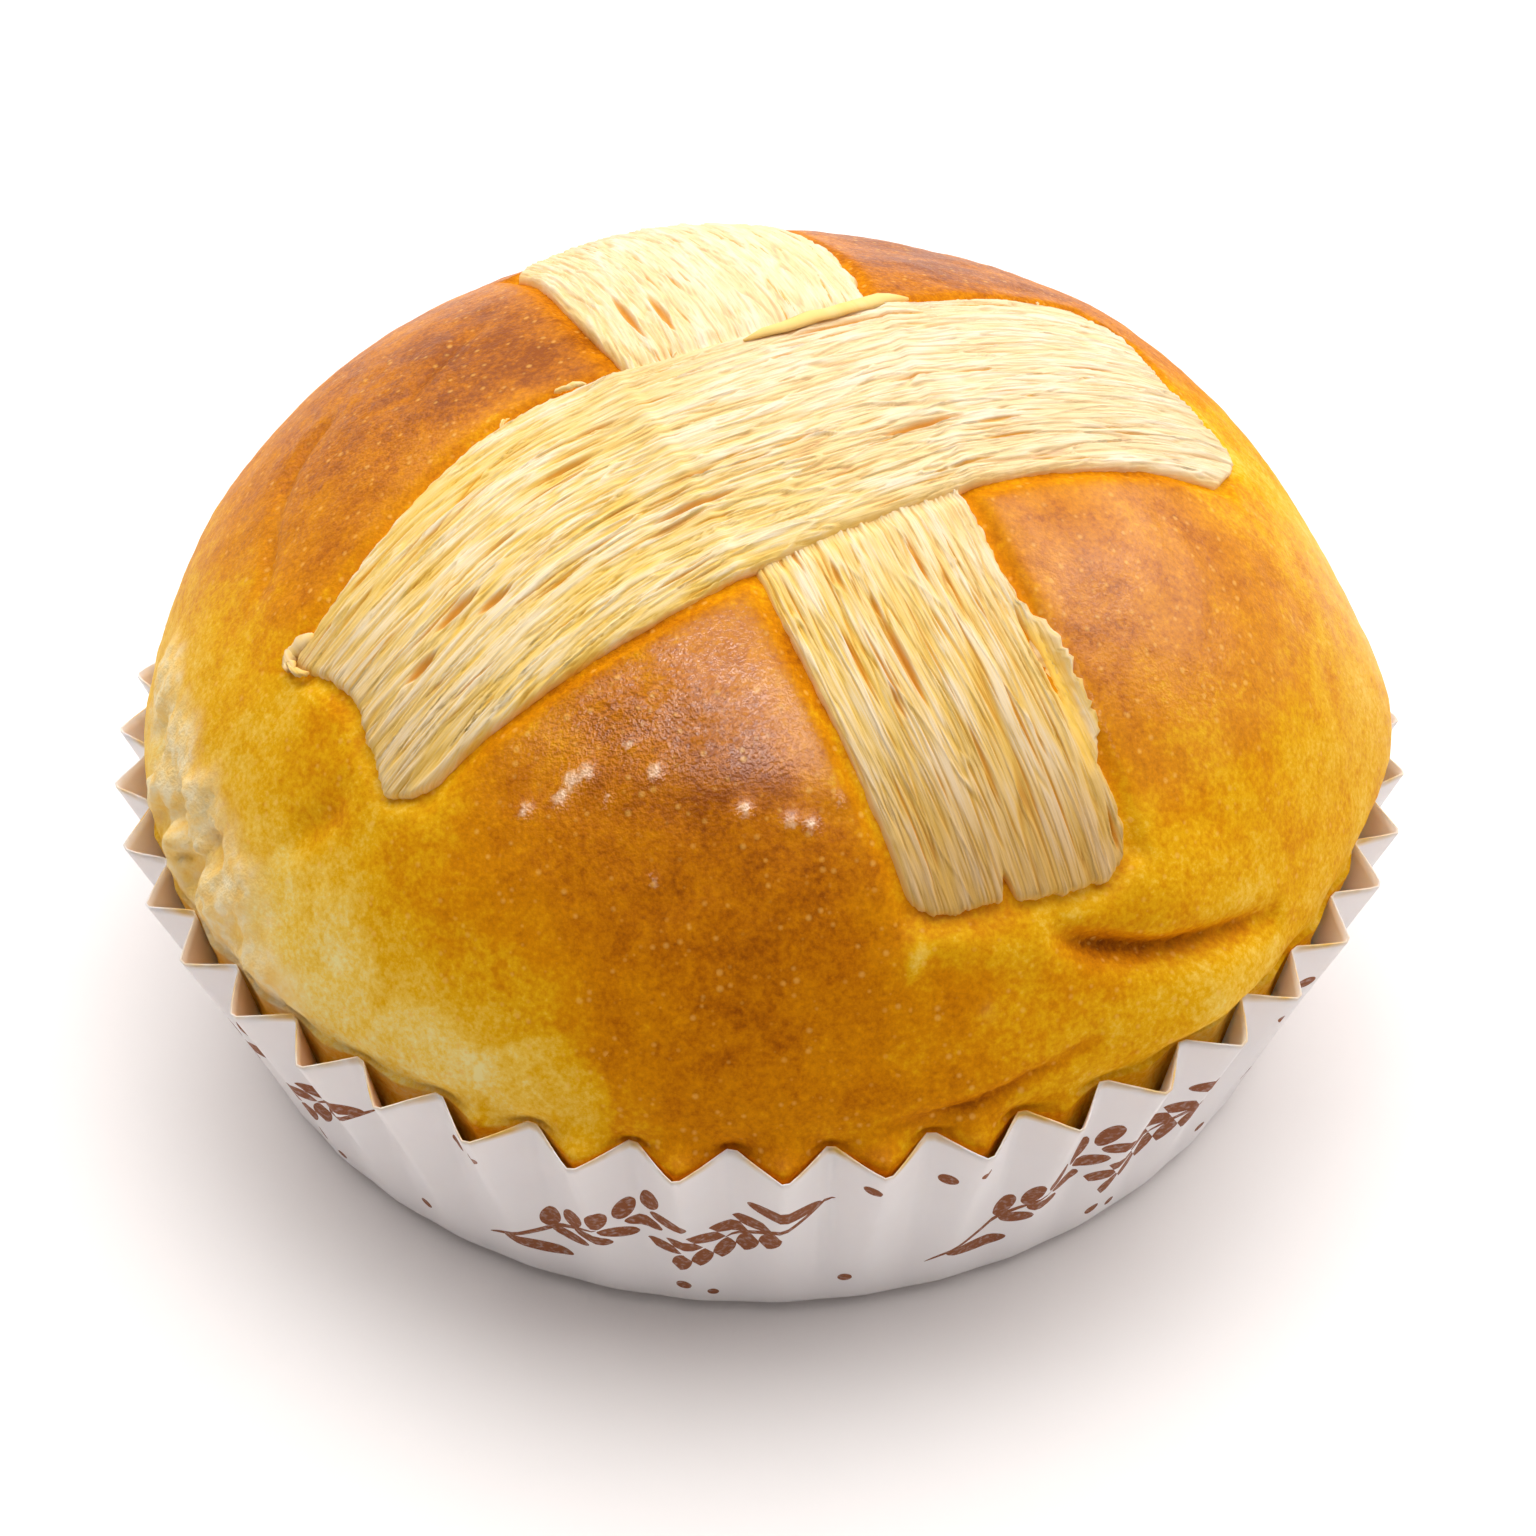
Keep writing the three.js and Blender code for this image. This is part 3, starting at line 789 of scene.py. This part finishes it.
def calc(tree, operation, *values):
    inputs = {f"i{number}": value for number, value in enumerate(values)}
    return place_node(tree, "ShaderNodeMath", {"operation": operation}, **inputs).outputs[0]


def spread(tree, value, low, high, new_low, new_high):
    """Maps a value's range to another, kept within it."""
    return place_node(tree, "ShaderNodeMapRange", Value=value, i1=low, i2=high, i3=new_low,
                      i4=new_high).outputs[0]


def mix_colour(tree, share, first, second):
    return place_node(tree, "ShaderNodeMix", {"data_type": "RGBA"}, i0=share, i6=first, i7=second).outputs[2]


def ramp(tree, value, stops):
    made = place_node(tree, "ShaderNodeValToRGB", Fac=value)
    marks = made.color_ramp.elements
    for _ in stops[2:]:
        marks.new(0.5)
    for mark, (place, *tint) in zip(marks, stops):
        mark.position = place
        mark.color = colour(*tint)
    return made.outputs[0]


def colour(red, green, blue):
    """A colour given as it looks on screen, from 0 to 255, for a shader."""
    shares = [part / 255 for part in (red, green, blue)]
    linear = [c / 12.92 if c <= 0.04045 else ((c + 0.055) / 1.055) ** 2.4 for c in shares]
    return (*linear, 1.0)


def new_material(name):
    material = bpy.data.materials.new(name)
    material.use_nodes = True
    tree = material.node_tree
    tree.nodes.clear()
    shader = place_node(tree, "ShaderNodeBsdfPrincipled")
    place_node(tree, "ShaderNodeOutputMaterial", Surface=shader.outputs[0])
    return material, tree, shader


def object_place(tree, size=1.0):
    """Object coordinates in millimetres, or in steps of a size in millimetres."""
    place = tree.nodes.new("ShaderNodeTexCoord").outputs["Object"]
    scale = 1 / MM / size
    return place_node(tree, "ShaderNodeVectorMath", {"operation": "SCALE"}, i0=place, Scale=scale).outputs[0]


def flat_place(tree, scale):
    """Own flat map of a piece, stretched by a scale along and across."""
    flat = place_node(tree, "ShaderNodeUVMap", {"uv_map": "wrap"}).outputs[0]
    return place_node(tree, "ShaderNodeMapping", Vector=flat, Scale=(*scale, 1)).outputs[0]


def attribute(tree, name):
    return place_node(tree, "ShaderNodeAttribute", {"attribute_name": name}).outputs["Fac"]


def noise_node(tree, vector, size, detail=3.0, roughness=0.55):
    made = place_node(tree, "ShaderNodeTexNoise", Vector=vector, Scale=1.0 / size, Detail=detail,
                      Roughness=roughness)
    return made.outputs["Fac"]


def vary(tree, level, patch, half_range, amount):
    """A level that noise about a half raises and lowers by up to an amount."""
    return calc(tree, "ADD", level, spread(tree, patch, 0.5 - half_range, 0.5 + half_range, -amount, amount))


def new_group(name, inputs, output):
    """A node group with named sockets: itself, what it is given, and the socket of its result."""
    group = bpy.data.node_groups.new(name, "ShaderNodeTree")
    for way, sockets in [("INPUT", inputs), ("OUTPUT", output)]:
        for title, kind in sockets.items():
            group.interface.new_socket(title, in_out=way, socket_type=kind)
    return group, group.nodes.new("NodeGroupInput").outputs, group.nodes.new("NodeGroupOutput").inputs[0]


def uneven_tint_group():
    sockets = {"Place": "NodeSocketVector", "First": "NodeSocketColor", "Second": "NodeSocketColor"}
    group, given, result = new_group("uneven_tint", sockets, {"Tint": "NodeSocketColor"})
    patch = noise_node(group, given["Place"], 1.0)
    group.links.new(mix_colour(group, patch, given["First"], given["Second"]), result)
    return group


def uneven_tint(tree, size, first, second):
    """Two tints that drift into each other over paper or floor, in patches of a size in millimetres."""
    group = bpy.data.node_groups.get("uneven_tint") or uneven_tint_group()
    return place_node(tree, "ShaderNodeGroup", {"node_tree": group}, Place=object_place(tree, size),
                      First=colour(*first), Second=colour(*second)).outputs["Tint"]


def speck_mask(tree, place):
    cells = place_node(tree, "ShaderNodeTexVoronoi", Vector=place, Scale=1 / SPECK_SPACING)
    chance = place_node(tree, "ShaderNodeSeparateColor", Color=cells.outputs["Color"]).outputs[0]
    nearness = calc(tree, "SUBTRACT", calc(tree, "MULTIPLY", chance, SPECK_SIZE), cells.outputs["Distance"])
    return spread(tree, nearness, -0.06, 0.14, 0.0, 1.0)


def crust_tone(tree, place, torn, speck):
    """Colour of the browned crust and its specks, of the torn crumb, and of the blisters, partly painted
    highlight.
    """
    level = attribute(tree, "bake")
    for size, detail, roughness, half_range, amount in MOTTLE:
        level = vary(tree, level, noise_node(tree, place, size, detail, roughness), half_range, amount)
    tone = ramp(tree, level, CRUST_TONES)
    tone = mix_colour(tree, calc(tree, "MULTIPLY", speck, 0.45), tone, colour(252, 192, 90))
    tone = mix_colour(tree, torn, tone, ramp(tree, noise_node(tree, place, 1.4), CRUMB_TONES))
    # Light tint on the blisters: partly a painted highlight of their glints.
    froth_and_glint = calc(tree, "ADD", attribute(tree, "foam_and_glint"), noise_node(tree, place, 0.45, 2.0, 0.7))
    return mix_colour(tree, spread(tree, froth_and_glint, 0.8, 1.3, 0.0, 0.7), tone, colour(250, 208, 166))


def wash_cover(tree, place, peel):
    """How much the egg wash shines: whole where it is smooth, in patches where it is grainy."""
    patchy = spread(tree, peel, 0.2, 0.9, 0.0, WASH_COVER)
    bare = spread(tree, noise_node(tree, place, 1.8, 4.0, 0.75), 0.42, 0.56, 0.9, 0.0)
    whole = calc(tree, "SUBTRACT", WASH_COVER, calc(tree, "MULTIPLY", bare, patchy))
    return calc(tree, "MULTIPLY", attribute(tree, "wash"), whole)


def crust_material():
    material, tree, shader = new_material("egg_washed_crust")
    place, torn, peel = object_place(tree), attribute(tree, "torn"), attribute(tree, "peel")
    speck, grain = speck_mask(tree, place), noise_node(tree, place, 0.26, 1.0)
    wrinkle = calc(tree, "MULTIPLY", noise_node(tree, place, 1.5, 2.0), peel)
    crumble = calc(tree, "MULTIPLY", noise_node(tree, place, 0.7, 2.0), torn)
    relief = grain
    for part, amount in [(wrinkle, 0.4), (speck, 0.2), (crumble, 1.5)]:
        relief = calc(tree, "MULTIPLY_ADD", part, amount, relief)
    strength = spread(tree, peel, 0.0, 1.0, 0.12, 0.5)
    bump = place_node(tree, "ShaderNodeBump", Height=relief, Strength=strength, Distance=0.0004)
    set_inputs(tree, shader, {
        "Base Color": crust_tone(tree, place, torn, speck),
        "Roughness": calc(tree, "MULTIPLY_ADD", torn, 0.4, spread(tree, grain, 0.3, 0.7, 0.42, 0.6)),
        "IOR": 1.075,
        "Normal": bump.outputs[0],
        "Coat Weight": wash_cover(tree, place, peel),
        "Coat Roughness": 0.18,
        "Coat IOR": 1.5,
        "Coat Normal": bump.outputs[0],
    })
    return material


def strip_material():
    material, tree, shader = new_material("shredded_pastry")
    fibre = noise_node(tree, flat_place(tree, (18, 620)), 1.0, 4.0, 0.65)
    cloud = noise_node(tree, flat_place(tree, (24, 90)), 1.0, 2.0)
    # Between the fibres and in the slits the strips are darker and more golden: their own colour and partly
    # painted shade.
    level = calc(tree, "MULTIPLY", attribute(tree, "crest"), 0.6)
    level = calc(tree, "MULTIPLY_ADD", attribute(tree, "ribbon"), 0.3, level)
    level = vary(tree, vary(tree, level, fibre, 0.2, 0.22), cloud, 0.2, 0.18)
    tone = ramp(tree, level, STRIP_TONES)
    # The first tint is a painted highlight up at the back; the second is toasting with painted shade at the
    # front and left.
    for name, share, tint in [("painted_light", 0.5, colour(246, 224, 202)), ("toasted_and_shade", 0.7, colour(204, 152, 78)),
                              ("yolk", 0.8, colour(255, 204, 70)), ("slit", 0.85, colour(226, 160, 42))]:
        tone = mix_colour(tree, calc(tree, "MULTIPLY", attribute(tree, name), share), tone, tint)
    bump = place_node(tree, "ShaderNodeBump", Height=fibre, Strength=0.5, Distance=0.0002)
    set_inputs(tree, shader, {"Base Color": tone, "Roughness": 0.62, "IOR": 1.15, "Normal": bump.outputs[0]})
    return material


def length_of(tree, vector):
    return place_node(tree, "ShaderNodeVectorMath", {"operation": "LENGTH"}, i0=vector).outputs["Value"]


def ellipse(tree, vector, middle, turn, half):
    """Mask of a turned ellipse."""
    inner = place_node(tree, "ShaderNodeMapping", {"vector_type": "TEXTURE"}, Vector=vector,
                       Location=(*middle, 0), Rotation=(0, 0, math.radians(turn)), Scale=(*half, 1))
    return calc(tree, "LESS_THAN", length_of(tree, inner.outputs[0]), 1.0)


def join_vector(tree, first, second):
    return place_node(tree, "ShaderNodeCombineXYZ", X=first, Y=second).outputs[0]


def split_vector(tree, vector):
    parts = place_node(tree, "ShaderNodeSeparateXYZ", Vector=vector).outputs
    return parts["X"], parts["Y"]


def ear_of_wheat(tree, vector, length):
    """Mask of a wheat ear that stands on the origin: paired grains, a stem and a leaf."""
    across, up = split_vector(tree, vector)
    mirrored = calc(tree, "ABSOLUTE", across)
    pitch = length / 5
    repeated = calc(tree, "FLOORED_MODULO", up, pitch)
    grains = ellipse(tree, join_vector(tree, mirrored, repeated), (1.3, pitch / 2), -40, (0.82, 1.6))
    within = calc(tree, "COMPARE", up, length / 2, length / 2)
    stem = ellipse(tree, vector, (0, -length * 0.08), 0, (0.28, length * 0.5))
    leaf = ellipse(tree, vector, (2.0, -length * 0.24), -40, (0.95, 3.0))
    ear = calc(tree, "MAXIMUM", calc(tree, "MULTIPLY", grains, within), stem)
    return calc(tree, "MAXIMUM", ear, leaf)


def print_group():
    """Brown print for the unrolled wall: slanting wheat ears and some dots, as a mask of ink."""
    sockets = {"Wall": "NodeSocketVector"}
    group, given, result = new_group("wheat_print", sockets, {"Ink": "NodeSocketFloat"})
    round_way, height = split_vector(group, given["Wall"])
    cell = math.tau * RIM_RADIUS / PRINT_CELLS
    local = calc(group, "SUBTRACT", calc(group, "FLOORED_MODULO", round_way, cell), cell / 2)
    spot = join_vector(group, local, height)
    ink = 0.0
    for place, turn, length in PRINT_EARS:
        turned = place_node(group, "ShaderNodeMapping", {"vector_type": "TEXTURE"}, Vector=spot,
                            Location=(*place, 0), Rotation=(0, 0, math.radians(turn))).outputs[0]
        ink = calc(group, "MAXIMUM", ear_of_wheat(group, turned, length), ink)
    for place, size in PRINT_DOTS:
        ink = calc(group, "MAXIMUM", ellipse(group, spot, place, 0, (size, size)), ink)
    worn = noise_node(group, given["Wall"], 0.5, 2.0)
    ink = calc(group, "MULTIPLY", ink, spread(group, worn, 0.3, 0.5, 0.8, 1.0))
    group.links.new(ink, result)
    return group


def paper_material():
    material, tree, shader = new_material("white_paper")
    wall = flat_place(tree, (FLAT_UNIT, FLAT_UNIT))
    way, height = split_vector(tree, wall)
    tone = uneven_tint(tree, 9.0, (240, 232, 230), (248, 242, 240))
    stain = calc(tree, "MULTIPLY", spread(tree, height, RIM_HEIGHT - 0.7, RIM_HEIGHT - 0.1, 0.0, 1.0),
                 spread(tree, noise_node(tree, join_vector(tree, way, 0.0), 5.0), 0.42, 0.6, 0.0, 0.9))
    ink = place_node(tree, "ShaderNodeGroup", {"node_tree": print_group()}, Wall=wall).outputs["Ink"]
    tone = mix_colour(tree, stain, tone, colour(236, 184, 70))
    tone = mix_colour(tree, ink, tone, colour(140, 82, 50))
    set_inputs(tree, shader, {"Base Color": tone, **PAPER_FEEL})
    return material


def paper_inside_material():
    material, tree, shader = new_material("oiled_paper_with_bounce")
    tone = uneven_tint(tree, 6.0, (255, 237, 226), (255, 245, 238))
    right, back = split_vector(tree, object_place(tree))
    # Towards the front and left the inside takes a golden tint: oil soaked into the paper and painted bounce
    # light from the crust.
    oil_and_bounce = calc(tree, "MULTIPLY_ADD", right, -0.35, calc(tree, "MULTIPLY", back, -0.95))
    tone = mix_colour(tree, spread(tree, oil_and_bounce, 36.0, 54.0, 0.0, 0.65), tone, colour(222, 166, 96))
    set_inputs(tree, shader, {"Base Color": tone, **PAPER_FEEL})
    return material


def floor_material():
    material, tree, shader = new_material("pale_floor")
    apart = length_of(tree, object_place(tree))
    set_inputs(tree, shader, {
        "Base Color": uneven_tint(tree, 60.0, (254, 248, 245), (255, 250, 248)),
        "Emission Color": (1, 1, 1, 1),
        "Emission Strength": spread(tree, apart, 350.0, 2200.0, 0.0, 0.65),
        "Roughness": 0.9,
        "Specular IOR Level": 0.0,
    })
    return material


def paint(bm, values, flat=None):
    """Writes named values on the points of a mesh, and its own flat map."""
    for key, numbers in values.items():
        layer = bm.verts.layers.float.new(key)
        for vert, number in zip(bm.verts, numbers.tolist()):
            vert[layer] = number
    if flat is not None:
        bm.verts.index_update()
        layout = bm.loops.layers.uv.new("wrap")
        places = flat.tolist()
        for face in bm.faces:
            for loop in face.loops:
                loop[layout].uv = places[loop.vert.index]


def put_in_scene(name, data):
    made = bpy.data.objects.new(name, data)
    bpy.context.scene.collection.objects.link(made)
    return made


def make_piece(name, bm, materials, raised=0.0):
    """Raises a mesh in millimetres and turns it into an object in metres."""
    bmesh.ops.translate(bm, vec=(0, 0, raised), verts=bm.verts)
    bmesh.ops.scale(bm, vec=(MM, MM, MM), verts=bm.verts)
    mesh = bpy.data.meshes.new(name)
    bm.to_mesh(mesh)
    bm.free()
    mesh.shade_smooth()
    for material in materials:
        mesh.materials.append(material)
    return put_in_scene(name, mesh)


# Stage

def make_floor():
    bm = bmesh.new()
    bmesh.ops.create_grid(bm, x_segments=1, y_segments=1, size=4000)
    floor = make_piece("floor", bm, [floor_material()], raised=-0.2)


def make_camera():
    elevation, roll = math.radians(40.063), math.radians(-0.328)
    target, distance = Vector((0.731, 0, 15.61)) * MM, 218.59 * MM
    data = bpy.data.cameras.new("camera")
    data.sensor_width = 36
    data.lens = 56.25
    data.clip_start = 0.01
    camera = put_in_scene("camera", data)
    back = Vector((0, -math.cos(elevation), math.sin(elevation)))
    turn = (-back).to_track_quat("-Z", "Y").to_matrix().to_4x4() @ Matrix.Rotation(roll, 4, "Z")
    camera.matrix_world = Matrix.Translation(target + back * distance) @ turn
    bpy.context.scene.camera = camera


def make_light(name, place, aim, width, height, power, only_gloss=False):
    data = bpy.data.lights.new(name, "AREA")
    data.shape = "RECTANGLE"
    data.size, data.size_y = width, height
    data.energy = power
    light = put_in_scene(name, data)
    light.location = place
    light.rotation_euler = (Vector(aim) - Vector(place)).to_track_quat("-Z", "Y").to_euler()
    light.visible_diffuse = not only_gloss


def make_studio():
    make_floor()
    make_camera()
    make_light("overhead_softbox", (0.03, 0.2, 0.7), (0, 0, 0.03), 1.2, 0.8, 8.0)
    make_light("front_gloss_panel", (0, -0.32, 0.70), (0, 0, 0.05), 1.0, 0.27, 14.0, only_gloss=True)
    make_light("side_gloss_panel", (0.7, 0.44, 0.62), (0, 0, 0.05), 0.9, 0.5, 3.0, only_gloss=True)
    world = bpy.data.worlds.new("studio")
    world.use_nodes = True
    tree = world.node_tree
    heading = tree.nodes.new("ShaderNodeTexCoord").outputs["Generated"]
    facing = place_node(tree, "ShaderNodeVectorMath", {"operation": "DOT_PRODUCT"}, i0=heading,
                        i1=BRIGHT_SIDE).outputs["Value"]
    glow = spread(tree, facing, -0.9, 0.45, 0.04, 0.68)
    seen = tree.nodes.new("ShaderNodeLightPath").outputs["Is Camera Ray"]
    brightness = calc(tree, "MAXIMUM", glow, seen)
    set_inputs(tree, tree.nodes["Background"], {"Color": (1, 1, 1, 1), "Strength": brightness})
    bpy.context.scene.world = world
    bpy.context.scene.view_settings.view_transform = "Standard"


def main():
    make_studio()
    pastry = strip_material()
    pieces = [
        (make_bun(), "bun", "crust"),
        (make_strip(STRIP_UNDER, pastry, above=STRIP_OVER), "strip_under", "strip"),
        (make_strip(STRIP_OVER, pastry, below=STRIP_UNDER), "strip_over", "strip"),
        (make_strands(STRIP_OVER, pastry, STRIP_UNDER), "strip_over", "strip"),
        (make_case(), "paper_case", "paper"),
    ]
    for piece, node, slot in pieces:
        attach(piece, "root")
        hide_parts(node)


main()
